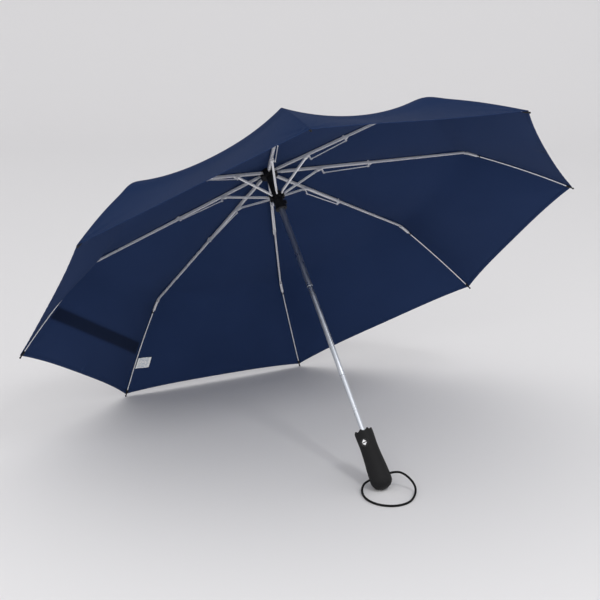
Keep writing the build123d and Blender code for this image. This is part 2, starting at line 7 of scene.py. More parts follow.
import bpy
import numpy as np
from math import cos, pi, radians, sin
from mathutils import Matrix, Vector
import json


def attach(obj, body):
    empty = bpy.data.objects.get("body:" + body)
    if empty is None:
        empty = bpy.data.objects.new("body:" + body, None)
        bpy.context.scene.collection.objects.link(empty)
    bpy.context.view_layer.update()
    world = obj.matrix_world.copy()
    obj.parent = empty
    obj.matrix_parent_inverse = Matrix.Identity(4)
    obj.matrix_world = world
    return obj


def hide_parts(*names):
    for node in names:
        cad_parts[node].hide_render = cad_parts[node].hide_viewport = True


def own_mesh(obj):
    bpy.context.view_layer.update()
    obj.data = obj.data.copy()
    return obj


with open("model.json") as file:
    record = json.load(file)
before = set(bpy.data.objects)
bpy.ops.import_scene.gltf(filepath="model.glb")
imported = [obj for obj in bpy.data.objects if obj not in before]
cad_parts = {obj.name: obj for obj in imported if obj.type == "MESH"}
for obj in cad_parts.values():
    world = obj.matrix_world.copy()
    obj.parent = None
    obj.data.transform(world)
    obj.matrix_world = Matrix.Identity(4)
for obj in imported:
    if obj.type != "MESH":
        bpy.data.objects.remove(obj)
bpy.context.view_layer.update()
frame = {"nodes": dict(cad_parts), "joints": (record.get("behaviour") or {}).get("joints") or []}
nodes = frame["nodes"]
joints = {j["name"]: j for j in frame["joints"]}

RIBS = 8
STEP = radians(360 / RIBS)
FIRST_AZIMUTH = radians(157.5)
TOP_ANGLE = radians(-11.8)
OUTER_ANGLE = radians(-35.6)
HINGE_R = 0.0134
TIP_CAP = 0.0112  # how far the black cap covers an outer rib's end

CLOTH = 0.00045
HEM_RISE = 0.007  # how far the middle of a panel's hem curves up towards the hub
HEM = 0.0068
SEAM = 0.0040
HEM_STITCH = 0.0052  # the hem's line of stitches, from the edge

# Rows of the cloth's profile between which the strap and the label lie, and the label's shares.
STRAP_LOW, STRAP_HIGH, STRAP_SHARE = 6.82, 7.31, 0.955
LABEL_LOW, LABEL_HIGH = 7.42, 7.85
LABEL_NEAR, LABEL_FAR = 0.975, 0.83
LABEL_WIDTH = 0.0247

BUTTON_AZIMUTH = radians(222.0)
BUTTON_Z = -0.505
BUTTON_FACE = 0.0144
BUTTON_DISH_R = 0.0151

# ---- the umbrella's own frame ------------------------------------------------------------------
ORIGIN = np.mean([joints[f"top_rib_hinge_{k + 1}"]["pos_m"] for k in range(RIBS)], axis=0)
AXIS_Z = -np.array(joints["runner_slide"]["axis"])
AXIS_X = np.array([1.0, 0.0, 0.0])
AXIS_Y = np.cross(AXIS_Z, AXIS_X)
OWN = np.array([AXIS_X, AXIS_Y, AXIS_Z])


def own_to_row(points):
    return np.asarray(points) @ OWN + ORIGIN


def row_to_own(points):
    return (np.asarray(points) - ORIGIN) @ OWN.T


def azimuth(k):
    return FIRST_AZIMUTH - STEP * k


def in_rib_plane(hinge):
    """A rib joint's place as (r, z)."""
    x, y, z = row_to_own(joints[hinge]["pos_m"])
    return np.array([np.hypot(x, y), z])


def moved(start, angle, x, z):
    return start + np.array([x * cos(angle) - z * sin(angle), x * sin(angle) + z * cos(angle)])


# ---- the cloth's surface -----------------------------------------------------------------------
HINGE_N = np.array([HINGE_R, 0.0])
HINGE_T = in_rib_plane("middle_rib_hinge_1")
HINGE_U = in_rib_plane("outer_rib_hinge_1")

# The line of the cloth's inner face along a rib, hub to tip, and its sag halfway between ribs.
PROFILE = [
    (np.array([0.0094, 0.0060]), 0.0),
    (np.array([0.0174, 0.0058]), 0.0002),
    (moved(HINGE_N, TOP_ANGLE, 0.070, 0.0044), 0.0025),
    (moved(HINGE_N, TOP_ANGLE, 0.1603, 0.0050), 0.0080),
    (moved(HINGE_T, TOP_ANGLE, 0.100, 0.0020), 0.0150),
    (moved(HINGE_T, TOP_ANGLE, 0.1711, 0.0014), 0.0200),
    (moved(HINGE_U, OUTER_ANGLE, 0.045, 0.0040), 0.0200),
    (moved(HINGE_U, OUTER_ANGLE, 0.100, 0.0016), 0.0150),
    (moved(HINGE_U, OUTER_ANGLE, 0.150, -0.0027), 0.0085),
    (moved(HINGE_U, OUTER_ANGLE, 0.1925, -0.0074), 0.0025),
]
LINE = np.array([p for p, _ in PROFILE])
SAG = np.array([sag for _, sag in PROFILE])
KNOTS = np.concatenate([[0], np.cumsum(np.linalg.norm(np.diff(LINE, axis=0), axis=1))])
# Lengths along that line where the crown, the top rib, the middle rib and the cloth end.
RHO_CROWN, RHO_T, RHO_U, RHO_END = 0.010, KNOTS[3], KNOTS[5] - 0.002, KNOTS[-1]
HALF_STEP_SIN, HALF_STEP_COS = sin(STEP / 2), cos(STEP / 2)


def smooth(values, at):
    """A Catmull-Rom curve through values at KNOTS."""
    at = np.clip(at, KNOTS[0], KNOTS[-1])
    slopes = np.gradient(values, KNOTS)
    i = np.clip(np.searchsorted(KNOTS, at, side="right") - 1, 0, len(KNOTS) - 2)
    width = KNOTS[i + 1] - KNOTS[i]
    t = (at - KNOTS[i]) / width
    return (
        values[i] * (1 + 2 * t) * (1 - t) ** 2
        + slopes[i] * width * t * (1 - t) ** 2
        + values[i + 1] * t**2 * (3 - 2 * t)
        + slopes[i + 1] * width * t**2 * (t - 1)
    )


def step_down(x, edge, soft):
    """1 below edge, 0 above it."""
    t = np.clip((edge + soft / 2 - x) / soft, 0, 1)
    return t * t * (3 - 2 * t)


def ripples(gore, rho, share, half):
    """How far the cloth stands off its smooth shape: pulls at the tips, soft waves and seam puckers."""
    side = np.sign(share + 1e-9)
    from_rib = half * (1 - np.abs(share))
    from_hem = RHO_END - rho
    reach = np.hypot(from_rib, from_hem)
    fan = np.arctan2(from_rib, from_hem + 1e-6)
    phase = 1.7 * gore + 0.9 * side
    middle = 1 - share**2
    pull = 0.0012 * np.exp(-reach / 0.055) * np.clip(reach / 0.012, 0, 1) * np.sin(2 * fan)
    offset = pull * share**2 * np.sin(7.5 * fan + phase)
    joints_near = np.exp(-np.abs(rho - RHO_T) / 0.05) + np.exp(-np.abs(rho - RHO_U) / 0.06)
    offset += 0.0007 * joints_near * share**4 * middle * np.sin(rho / 0.0085 + phase)
    offset += 0.0010 * middle * np.sin(rho / 0.041 + 2.1 * gore) * np.sin(2.6 * share + 1.3 * gore)
    pucker = share**2 * np.exp(-from_rib / 0.006) * (1 - np.exp(-from_rib / 0.002))
    offset += 0.00022 * pucker * np.sin(rho / 0.0024 + 3 * np.sin(rho / 0.013 + phase))
    tuck = np.exp(-from_hem / 0.006)
    offset += 0.00016 * tuck * np.sin(share * half / 0.0023 + 2 * np.sin(share * half / 0.017 + phase))
    return offset


def cloth(gore, rho, share, lift):
    """Points of a panel in the row frame. share runs from -1 at rib gore + 1 to 1 at rib gore."""
    r, z, sag = smooth(LINE[:, 0], rho), smooth(LINE[:, 1], rho), smooth(SAG, rho)
    dr, dz = (smooth(LINE[:, i], rho + 0.002) - smooth(LINE[:, i], rho - 0.002) for i in (0, 1))
    slope = np.arctan2(dz, dr)
    middle = 1 - share**2
    half = r * HALF_STEP_SIN
    drop = sag * middle - lift - ripples(gore, rho, share, half)
    rise = HEM_RISE * (rho / RHO_END) ** 7 * (1 - np.abs(share) ** 3)
    out = r * HALF_STEP_COS - rise * np.cos(slope) + drop * np.sin(slope)
    up = z - rise * np.sin(slope) - drop * np.cos(slope)
    turn = azimuth(gore) - STEP / 2
    across = share * half
    own = np.stack(
        [out * cos(turn) - across * sin(turn), out * sin(turn) + across * cos(turn), up], axis=-1
    )
    return own_to_row(own)


def extra(rho, share):
    """The folded edges' extra thickness, on the inside: a hem and the seam beside each rib."""
    half = smooth(LINE[:, 0], rho) * HALF_STEP_SIN
    from_rib = half * (1 - np.abs(share))
    hem = 0.00035 * step_down(RHO_END - rho, HEM, 0.0008)
    seam = 0.00030 * step_down(from_rib, SEAM, 0.0007)
    return hem + seam


def layer(gore, rho, share, inside):
    """Points and outward normals of one face of the cloth."""

    def at(rho_at, share_at):
        lift = -extra(rho_at, share_at) if inside else CLOTH
        return cloth(gore, rho_at, share_at, lift)

    along = at(rho + 1e-4, share) - at(rho - 1e-4, share)
    step = 2e-4
    low, high = np.maximum(share - step, -1.0), np.minimum(share + step, 1.0)
    across = at(rho, high) - at(rho, low)
    normal = np.cross(along, across)
    normal /= np.linalg.norm(normal, axis=-1, keepdims=True) + 1e-12
    return at(rho, share), -normal if inside else normal


class Builder:
    """Collects grids of points with normals and UVs, and makes a mesh of them.

    Each point has a shade: -1 outside, 0 inside and up to 1 inside where the strap behind the cloth
    casts its painted shadow.
    """

    def __init__(self):
        self.points, self.normals, self.faces = [], [], []
        self.cloth_uv, self.edge_uv, self.shade = [], [], []
        self.count = 0

    def grid(self, points, normals, cloth_uv, edge_uv, shade=None, flip=False):
        rows, columns = points.shape[:2]
        index = np.arange(rows * columns).reshape(rows, columns) + self.count
        a, b, c, d = index[:-1, :-1], index[1:, :-1], index[1:, 1:], index[:-1, 1:]
        quads = np.stack([a, b, c, d] if not flip else [a, d, c, b], axis=-1).reshape(-1, 4)
        self.faces.extend(quads.tolist())
        for store, values, width in (
            (self.points, points, 3),
            (self.normals, normals, 3),
            (self.cloth_uv, cloth_uv, 2),
            (self.edge_uv, edge_uv, 2),
        ):
            store.append(values.reshape(-1, width))
        shade = np.zeros((rows, columns)) if shade is None else shade
        self.shade.append(shade.reshape(-1))
        self.count += rows * columns

    def make(self, name, material):
        mesh = bpy.data.meshes.new(name)
        points, normals = np.concatenate(self.points), np.concatenate(self.normals)
        mesh.from_pydata(points.tolist(), [], self.faces)
        mesh.polygons.foreach_set("use_smooth", [True] * len(mesh.polygons))
        loops = np.zeros(len(mesh.loops), int)
        mesh.loops.foreach_get("vertex_index", loops)
        for uv_name, store in (("cloth", self.cloth_uv), ("edge", self.edge_uv)):
            uv = mesh.uv_layers.new(name=uv_name)
            uv.data.foreach_set("uv", np.concatenate(store)[loops].ravel())
        shade = mesh.attributes.new("shade", "FLOAT", "POINT")
        shade.data.foreach_set("value", np.concatenate(self.shade).astype(np.float32))
        mesh.normals_split_custom_set_from_vertices(normals.tolist())
        mesh.materials.append(material)
        obj = bpy.data.objects.new(name, mesh)
        bpy.context.scene.collection.objects.link(obj)
        return obj


# ---- materials ---------------------------------------------------------------------------------
def new_material(name, color, roughness, metallic=0.0, **sockets):
    material = bpy.data.materials.new(name)
    material.use_nodes = True
    shader = material.node_tree.nodes["Principled BSDF"]
    shader.inputs["Base Color"].default_value = (*color, 1)
    shader.inputs["Roughness"].default_value = roughness
    shader.inputs["Metallic"].default_value = metallic
    for socket, value in sockets.items():
        shader.inputs[socket.replace("_", " ")].default_value = value
    return material


def add(material, kind, **values):
    node = material.node_tree.nodes.new(kind)
    for key, value in values.items():
        if key in node.inputs:
            node.inputs[key].default_value = value
        else:
            setattr(node, key, value)
    return node


def join(material, source, target):
    material.node_tree.links.new(source, target)


def math(material, operation, a, b=0.0, clamp=False):
    """A math node on two sockets or numbers."""
    node = add(material, "ShaderNodeMath", operation=operation, use_clamp=clamp)
    for i, value in enumerate((a, b)):
        if isinstance(value, (int, float)):
            node.inputs[i].default_value = value
        else:
            join(material, value, node.inputs[i])
    return node.outputs[0]


def mix(material, factor, a, b):
    """A colour between two colours or sockets."""
    node = add(material, "ShaderNodeMix", data_type="RGBA")
    for socket, value in ((0, factor), (6, a), (7, b)):
        if isinstance(value, bpy.types.NodeSocket):
            join(material, value, node.inputs[socket])
        else:
            node.inputs[socket].default_value = (*value, 1) if socket else value
    return node.outputs[2]


def noise(material, vector, scale, detail=3.0, roughness=0.5):
    node = add(material, "ShaderNodeTexNoise", Scale=scale, Detail=detail, Roughness=roughness)
    join(material, vector, node.inputs["Vector"])
    return node.outputs["Fac"]


def shader_of(material):
    return material.node_tree.nodes["Principled BSDF"]


def coordinates(material):
    return add(material, "ShaderNodeTexCoord").outputs["Object"]


def uv_parts(material, name):
    uv = add(material, "ShaderNodeUVMap", uv_map=name)
    parts = add(material, "ShaderNodeSeparateXYZ")
    join(material, uv.outputs["UV"], parts.inputs[0])
    return parts.outputs[0], parts.outputs[1]


def bump(material, height, strength, distance, before=None):
    node = add(material, "ShaderNodeBump", Strength=strength, Distance=distance)
    join(material, height, node.inputs["Height"])
    if before is not None:
        join(material, before, node.inputs["Normal"])
    join(material, node.outputs["Normal"], shader_of(material).inputs["Normal"])
    return node.outputs["Normal"]


def weave(material, pitch):
    """A plain weave's height from the cloth's own coordinates."""
    u, v = uv_parts(material, "cloth")
    a = math(material, "SINE", math(material, "MULTIPLY", u, 2 * pi / pitch))
    b = math(material, "SINE", math(material, "MULTIPLY", v, 2 * pi / pitch))
    return math(material, "MULTIPLY", a, b)


def stitches(material, distance, along, at, pitch=0.0026):
    """1 on a dashed line that runs at a given distance from an edge."""
    off = math(material, "ABSOLUTE", math(material, "SUBTRACT", distance, at))
    on_line = math(material, "LESS_THAN", off, 0.00028)
    turn = math(material, "FRACT", math(material, "DIVIDE", along, pitch))
    return math(material, "MULTIPLY", on_line, math(material, "LESS_THAN", turn, 0.72))


# The inside colours are painted paler and greyer than the darker outside ones: a painted sheen of light
# on the inside of one and the same cloth.
INNER_PAINTED_SHEEN_COLOR, INNER_PAINTED_SHEEN_LIGHTER = (0.0130, 0.0285, 0.0840), (0.0190, 0.0385, 0.1080)
OUTER_COLOR, OUTER_LIGHTER = (0.0036, 0.0150, 0.0570), (0.0054, 0.0205, 0.0740)
THREAD_COLOR = (0.004, 0.012, 0.045)
# A painted shadow: the inside colour darkened where the strap lies behind the cloth.
PAINTED_STRAP_SHADOW_COLOR = tuple(0.42 * c for c in INNER_PAINTED_SHEEN_COLOR)


def cloth_material():
    """Plain-woven navy cloth with a stitched hem; its inside is painted paler and greyer than its
    outside as a painted sheen, and a painted shadow of the strap darkens the inside behind it.
    """
    material = new_material("navy_cloth", INNER_PAINTED_SHEEN_COLOR, 0.86)
    shader = shader_of(material)
    shader.inputs["Sheen Weight"].default_value = 0.02
    shader.inputs["Sheen Roughness"].default_value = 0.40
    shader.inputs["Sheen Tint"].default_value = (0.45, 0.62, 1.0, 1)
    shader.inputs["Specular IOR Level"].default_value = 0.10
    place = coordinates(material)
    u = uv_parts(material, "cloth")[0]
    from_hem = uv_parts(material, "edge")[1]
    cloudy = noise(material, place, 9.0, 4.0)
    tone = mix(material, cloudy, INNER_PAINTED_SHEEN_COLOR, INNER_PAINTED_SHEEN_LIGHTER)
    threads = weave(material, 0.00042)
    slub = noise(material, place, 900.0, 2.0)
    grain = math(material, "MULTIPLY", threads, 0.10)
    fine = math(material, "ADD", math(material, "MULTIPLY", slub, 0.5), grain, clamp=True)
    tone = mix(material, math(material, "MULTIPLY", fine, 0.55), tone, INNER_PAINTED_SHEEN_LIGHTER)
    hem_line = stitches(material, from_hem, u, HEM_STITCH)
    tone = mix(material, hem_line, tone, THREAD_COLOR)
    shade = add(material, "ShaderNodeAttribute", attribute_name="shade").outputs["Fac"]
    # The outer face takes the darker outside colours; the inner face keeps the paler ones with their
    # painted sheen.
    outside = math(material, "MULTIPLY", shade, -1.0, clamp=True)
    tone = mix(material, outside, tone, mix(material, cloudy, OUTER_COLOR, OUTER_LIGHTER))
    # Painted shadow of the strap, darkening the inside behind it.
    tone = mix(material, math(material, "MAXIMUM", shade, 0.0), tone, PAINTED_STRAP_SHADOW_COLOR)
    join(material, tone, shader.inputs["Base Color"])
    normal = bump(material, threads, 0.35, 0.00010)
    normal = bump(material, noise(material, place, 55.0, 3.0), 0.10, 0.0015, normal)
    bump(material, hem_line, 0.5, 0.00025, normal)
    return material


navy = cloth_material()


# ---- the canopy --------------------------------------------------------------------------------
# Fixed widths of the mesh beside a rib, which follow the seam's edge.
NEAR_RIB = np.array([0.0, 0.0011, 0.0036, 0.0043])


def place_of(rho):
    """How many rows of the profile down the panel a place is."""
    return np.interp(rho, KNOTS, range(len(KNOTS)))


def strap_shadow(gore, rho, share):
    """Where a painted shadow of the strap behind the cloth darkens its inside."""
    if gore != 0:
        return np.zeros_like(rho)
    place = place_of(rho)
    below = step_down(-place, -STRAP_LOW, 0.10)
    above = step_down(place, STRAP_HIGH, 0.10)
    return below * above * step_down(np.abs(share), 0.965, 0.02)


def shares(rho, columns):
    """Shares across half a panel, from a rib to the middle, with fixed widths beside the rib."""
    half = smooth(LINE[:, 0], rho) * HALF_STEP_SIN
    near = NEAR_RIB[None, :] * np.minimum(1, half / 0.02)[:, None]
    t = np.linspace(0, 1, columns + 1)[1:]
    rest = near[:, -1:] + (half[:, None] - near[:, -1:]) * t[None, :]
    return np.clip(1 - np.concatenate([near, rest], axis=1) / half[:, None], 0, 1)


def canopy_part(name, k, rho_rows, columns=22, hemmed=False):
    """Half of each of the two panels beside rib k, between two places along the rib."""
    builder = Builder()
    base = shares(rho_rows, columns)
    rho = np.repeat(rho_rows[:, None], base.shape[1], axis=1)
    half = smooth(LINE[:, 0], rho) * HALF_STEP_SIN
    for gore, side in ((k, 1), ((k - 1) % RIBS, -1)):
        share = base * side
        cloth_uv = np.stack([half * share, rho], axis=-1)
        edge_uv = np.stack([half * (1 - np.abs(share)), RHO_END - rho], axis=-1)
        for inside in (False, True):
            points, normals = layer(gore, rho, share, inside)
            shade = strap_shadow(gore, rho, share) if inside else -np.ones_like(rho)
            builder.grid(points, normals, cloth_uv, edge_uv, shade, flip=(side > 0) != inside)
        if hemmed:
            faces = [layer(gore, rho[-1:], share[-1:], inside) for inside in (False, True)]
            points = np.concatenate([p for p, _ in faces])
            away = layer(gore, rho[-1:] - 0.002, share[-1:], False)[0]
            normals = faces[0][0] - away
            normals = np.repeat(normals / np.linalg.norm(normals, axis=-1, keepdims=True), 2, axis=0)
            builder.grid(
                points,
                normals,
                np.repeat(cloth_uv[-1:], 2, axis=0),
                np.repeat(edge_uv[-1:], 2, axis=0),
                flip=side > 0,
            )
    return builder.make(name, navy)


HEM_ROWS = RHO_END - np.array([0.0074, 0.0066, 0.0052, 0.0030, 0.0010, 0.0])
ZONES = [
    ("upper", "top_rib", HINGE_N, np.linspace(RHO_CROWN, RHO_T, 34), False),
    ("middle", "middle_rib", HINGE_T, np.linspace(RHO_T, RHO_U, 36), False),
    (
        "outer",
        "outer_rib",
        HINGE_U,
        np.concatenate([np.linspace(RHO_U, RHO_END - 0.009, 40), HEM_ROWS]),
        True,
    ),
]


def make_canopy():
    for k in range(RIBS):
        for zone, body, hinge, rho_rows, hemmed in ZONES:
            piece = canopy_part(f"canopy_{zone}_{k + 1}", k, rho_rows, hemmed=hemmed)
            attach(piece, f"{body}_{k + 1}")
            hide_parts("canopy")
            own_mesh(piece)


def make_crown():
    """The middle of the canopy, clamped between the notch and the cap."""
    builder = Builder()
    rho_rows = np.linspace(0.0, RHO_CROWN, 8)
    share_row = np.linspace(-1, 1, 13)
    rho = np.repeat(rho_rows[:, None], len(share_row), axis=1)
    share = np.repeat(share_row[None, :], len(rho_rows), axis=0)
    half = smooth(LINE[:, 0], rho) * HALF_STEP_SIN
    cloth_uv = np.stack([half * share, rho], axis=-1)
    edge_uv = np.stack([half * (1 - np.abs(share)), RHO_END - rho], axis=-1)
    for gore in range(RIBS):
        for inside in (False, True):
            points, normals = layer(gore, rho, share, inside)
            builder.grid(points, normals, cloth_uv, edge_uv, flip=inside)
    piece = builder.make("canopy_crown", navy)
    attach(piece, "upper_tube")
    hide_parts("canopy")


# ---- the camera ----------------------------------------------------------------------------------
CAMERA_PLACE = (-1.1401, -1.9760, 0.9063)
CAMERA_RIGHT = (0.86876, -0.49516, 0.00869)
CAMERA_FORWARD = (0.47791, 0.83364, -0.27684)
LENS, SENSOR = 84.55, 36


def make_camera():
    camera = bpy.data.objects.new("camera", bpy.data.cameras.new("camera"))
    bpy.context.scene.collection.objects.link(camera)
    up = Vector(CAMERA_RIGHT).cross(Vector(CAMERA_FORWARD)).normalized()
    back = -Vector(CAMERA_FORWARD).normalized()
    side = up.cross(back).normalized()
    rotation = Matrix((side, up, back)).transposed()
    camera.matrix_world = Matrix.Translation(CAMERA_PLACE) @ rotation.to_4x4()
    camera.data.sensor_width = SENSOR
    camera.data.lens = LENS
    bpy.context.scene.camera = camera


# ---- the wrist cord ------------------------------------------------------------------------------
# The CAD cord's route: out of one side of the handle's hole, along the floor and into the other.
CORD_ROUTE = [
    (0.0069, -0.2493, 0.0237),
    (0.0234, -0.2564, 0.0300),
    (0.0365, -0.2677, 0.0245),
    (0.0450, -0.2827, 0.0095),
    (0.0310, -0.3012, 0.0022),
    (0.0090, -0.3177, 0.0019),
    (-0.0160, -0.3187, 0.0019),
    (-0.0360, -0.3037, 0.0019),
    (-0.0430, -0.2807, 0.0019),
    (-0.0395, -0.2597, 0.0020),
    (-0.0320, -0.2437, 0.0055),
    (-0.0208, -0.2373, 0.0132),
    (-0.0069, -0.2433, 0.0184),
]
# Painted shade and light of the braid: the grooves between strands darker, the raised strands paler.
STRAND_PAINTED_GROOVE_SHADE, STRAND_PAINTED_TOP_LIGHT = (0.0025, 0.0025, 0.003), (0.008, 0.008, 0.009)


def cord_material():
    """A round braid: crossing diagonal strands along the cord's own coordinates."""
    material = new_material("braided_cord", (0.004, 0.004, 0.0045), 0.78)
    shader = shader_of(material)
    shader.inputs["Specular IOR Level"].default_value = 0.2
    uv = add(material, "ShaderNodeUVMap")
    parts = add(material, "ShaderNodeSeparateXYZ")
    join(material, uv.outputs["UV"], parts.inputs[0])
    along = math(material, "MULTIPLY", parts.outputs[0], 2 * pi * 95)
    around = math(material, "MULTIPLY", parts.outputs[1], 2 * pi * 4)
    one = math(material, "SINE", math(material, "ADD", along, around))
    other = math(material, "SINE", math(material, "SUBTRACT", along, around))
    strands = math(material, "MAXIMUM", one, other)
    # Painted shade: colour follows the strands' height, darker in the grooves and paler on the raised
    # strands.
    painted_relief_light = math(material, "MULTIPLY", strands, 0.5, clamp=True)
    tone = mix(material, painted_relief_light, STRAND_PAINTED_GROOVE_SHADE, STRAND_PAINTED_TOP_LIGHT)
    join(material, tone, shader.inputs["Base Color"])
    bump(material, strands, 0.6, 0.0003)
    return material


def make_cord():
    curve = bpy.data.curves.new("wrist_cord_loop", "CURVE")
    curve.dimensions = "3D"
    curve.bevel_depth = 0.0018
    curve.bevel_resolution = 6
    curve.resolution_u = 24
    spline = curve.splines.new("NURBS")
    spline.points.add(len(CORD_ROUTE) - 1)
    for point, place in zip(spline.points, CORD_ROUTE):
        point.co = (*place, 1)
    spline.order_u = 3
    spline.use_endpoint_u = True
    curve.materials.append(cord_material())
    cord = bpy.data.objects.new("wrist_cord_loop", curve)
    bpy.context.scene.collection.objects.link(cord)
    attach(cord, "handle")
    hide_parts("wrist_cord")


# ---- strap and label -----------------------------------------------------------------------------
def rho_at(place):
    return np.interp(place, range(len(KNOTS)), KNOTS)


def make_strap():
    """The tie strap, lying on the outside of the first panel."""
    builder = Builder()
    rows, columns = 9, 90
    t = np.linspace(0, 1, rows)[:, None]
    share = np.repeat(np.linspace(-STRAP_SHARE, STRAP_SHARE, columns)[None, :], rows, axis=0)
    rho = np.repeat(rho_at(STRAP_LOW + (STRAP_HIGH - STRAP_LOW) * t), columns, axis=1)
    half = smooth(LINE[:, 0], rho) * HALF_STEP_SIN
    wave = 0.0004 * np.sin(share * half / 0.011) + 0.0003 * np.sin(share * half / 0.0043 + 6 * t)
    cloth_uv = np.stack([half * share, rho], axis=-1)
    width = rho[-1:] - rho[:1]
    edge = np.stack([half * (1 - np.abs(share)), np.minimum(t, 1 - t) * width], axis=-1)
    for lift, flip in ((CLOTH + 0.0015, True), (CLOTH + 0.0023, False)):
        points = cloth(0, rho, share, lift + wave)
        along = np.gradient(points, axis=0)
        across = np.gradient(points, axis=1)
        normals = np.cross(along, across)
        normals /= np.linalg.norm(normals, axis=-1, keepdims=True)
        builder.grid(points, -normals if flip else normals, cloth_uv, edge, flip=flip)
    strap = builder.make("closing_strap", navy)
    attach(strap, "outer_rib_1")
    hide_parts("tie_strap")
    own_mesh(strap)


LABEL_WHITE, LABEL_INK = (0.93, 0.94, 0.94), (0.20, 0.33, 0.48)


def label_material():
    """White satin with broken pale blue bars where the print would be."""
    material = new_material("label_satin", LABEL_WHITE, 0.45)
    shader = shader_of(material)
    u, v = uv_parts(material, "edge")
    line = math(material, "FRACT", math(material, "DIVIDE", v, 0.0030))
    on_line = math(material, "LESS_THAN", line, 0.34)
    gap = math(material, "GREATER_THAN", noise(material, coordinates(material), 420.0, 1.0), 0.47)
    inside_u = math(material, "GREATER_THAN", u, 0.0030)
    ink = math(material, "MULTIPLY", math(material, "MULTIPLY", on_line, gap), inside_u)
    tone = mix(material, math(material, "MULTIPLY", ink, 0.75), LABEL_WHITE, LABEL_INK)
    join(material, tone, shader.inputs["Base Color"])
    bump(material, weave(material, 0.0004), 0.3, 0.00006)
    return material


def make_label():
    """The care label, caught in the seam beside the second rib."""
    builder = Builder()
    rows, columns = 12, 16
    share = np.repeat(np.linspace(LABEL_NEAR, LABEL_FAR, columns)[None, :], rows, axis=0)
    rho = rho_at(np.repeat(np.linspace(LABEL_LOW, LABEL_HIGH, rows)[:, None], columns, axis=1))
    t = (LABEL_NEAR - share) / (LABEL_NEAR - LABEL_FAR)
    curl = 0.0011 + 0.0016 * t**2 + 0.0005 * np.sin(5 * t + rho / 0.01)
    down = rho - rho[0, 0]
    uv = np.stack([t * LABEL_WIDTH, down], axis=-1)
    edge = np.stack([np.minimum(t, 1 - t) * LABEL_WIDTH, down], axis=-1)
    for thick, flip in ((0.0, True), (0.0002, False)):
        points = cloth(1, rho, share, -curl - thick)
        normals = np.cross(np.gradient(points, axis=0), np.gradient(points, axis=1))
        normals /= np.linalg.norm(normals, axis=-1, keepdims=True)
        builder.grid(points, -normals if flip else normals, uv, edge, flip=flip)
    label = builder.make("sewn_label", label_material())
    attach(label, "outer_rib_2")
    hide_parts("care_label")
    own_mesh(label)


# ---- metals and plastics -------------------------------------------------------------------------
def metal(name, color, roughness, streak, worn, metallic=1.0):
    """Drawn or rolled metal: fine streaks along its length, faint smears and dust."""
    material = new_material(name, color, roughness, metallic)
    place = coordinates(material)
    stretch = add(material, "ShaderNodeMapping", Scale=streak)
    join(material, place, stretch.inputs["Vector"])
    lines = noise(material, stretch.outputs["Vector"], 1.0, 3.0)
    smears = noise(material, place, 60.0, 4.0)
    rough = add(material, "ShaderNodeMapRange")
    rough.inputs["To Min"].default_value = roughness * 0.75
    rough.inputs["To Max"].default_value = roughness * 1.5
    join(material, smears, rough.inputs["Value"])
    join(material, rough.outputs["Result"], shader_of(material).inputs["Roughness"])
    dark = tuple(worn * c for c in color)
    tone = mix(material, math(material, "MULTIPLY", lines, 0.6), color, dark)
    join(material, tone, shader_of(material).inputs["Base Color"])
    bump(material, lines, 0.12, 0.0001)
    return material


def plastic(name, color, roughness, grain, depth, coat=0.0, shine=0.5):
    """Moulded plastic: a fine grain and faint smudges."""
    material = new_material(
        name, color, roughness, Coat_Weight=coat, Coat_Roughness=0.25, Specular_IOR_Level=shine
    )
    place = coordinates(material)
    texture = noise(material, place, grain, 3.0)
    smudge = noise(material, place, 70.0, 4.0)
    rough = add(material, "ShaderNodeMapRange")
    rough.inputs["To Min"].default_value = roughness * 0.85
    rough.inputs["To Max"].default_value = min(1.0, roughness * 1.2)
    join(material, smudge, rough.inputs["Value"])
    join(material, rough.outputs["Result"], shader_of(material).inputs["Roughness"])
    paler = tuple(1.5 * c + 0.002 for c in color)
    tone = mix(material, texture, color, paler)
    join(material, tone, shader_of(material).inputs["Base Color"])
    bump(material, texture, 0.35, depth)
    return material


def dress(names, material):
    """Gives CAD nodes their only material."""
    for name in names:
        mesh = nodes[name].data
        mesh.materials.clear()
        mesh.materials.append(material)


def black_tip(rib, material):
    """The black moulded cap on the end of an outer rib."""
    mesh = rib.data
    mesh.materials.append(material)
    points = np.array([rib.matrix_world @ face.center for face in mesh.polygons])
    far = np.linalg.norm(row_to_own(points)[:, :2], axis=1)
    for face, reach in zip(mesh.polygons, far):
        if reach > far.max() - TIP_CAP:
            face.material_index = 1


